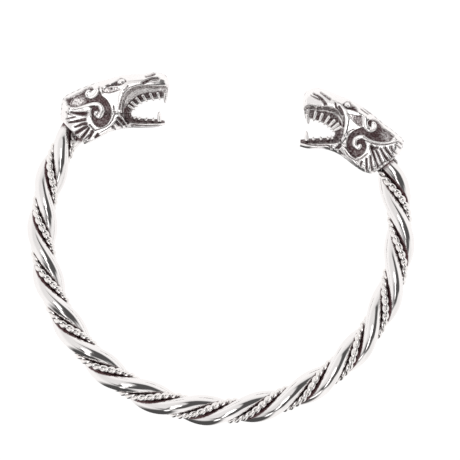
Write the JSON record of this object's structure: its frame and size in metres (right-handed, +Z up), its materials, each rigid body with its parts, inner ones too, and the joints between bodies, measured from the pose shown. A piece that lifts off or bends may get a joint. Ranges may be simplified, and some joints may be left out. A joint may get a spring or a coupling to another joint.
{
  "type": "arm ring",
  "caption": "Open silver arm ring of thick wires twisted with fine ropes, with two beast heads facing each other across the gap.",
  "frame": {"origin": "centre of the ring's opening, on the level the ring lies on", "axes": "+X to the right across the opening as in the picture, +Y from the back of the ring towards the gap between the heads, +Z up, square to the plane of the ring"},
  "size_m": [0.0735, 0.0672, 0.0091],
  "materials": {
    "polished_wire": "mirror-polished silver",
    "fine_rope": "polished silver, darkened in the grooves",
    "cast_head": "cast silver, polished on the raised work and darkened in the recesses"
  },
  "bodies": {
    "root": {"strand_1": "polished_wire", "strand_2": "polished_wire", "rope_1": "fine_rope", "rope_2": "fine_rope", "head_left": "cast_head", "head_right": "cast_head"}
  },
  "joints": []
}
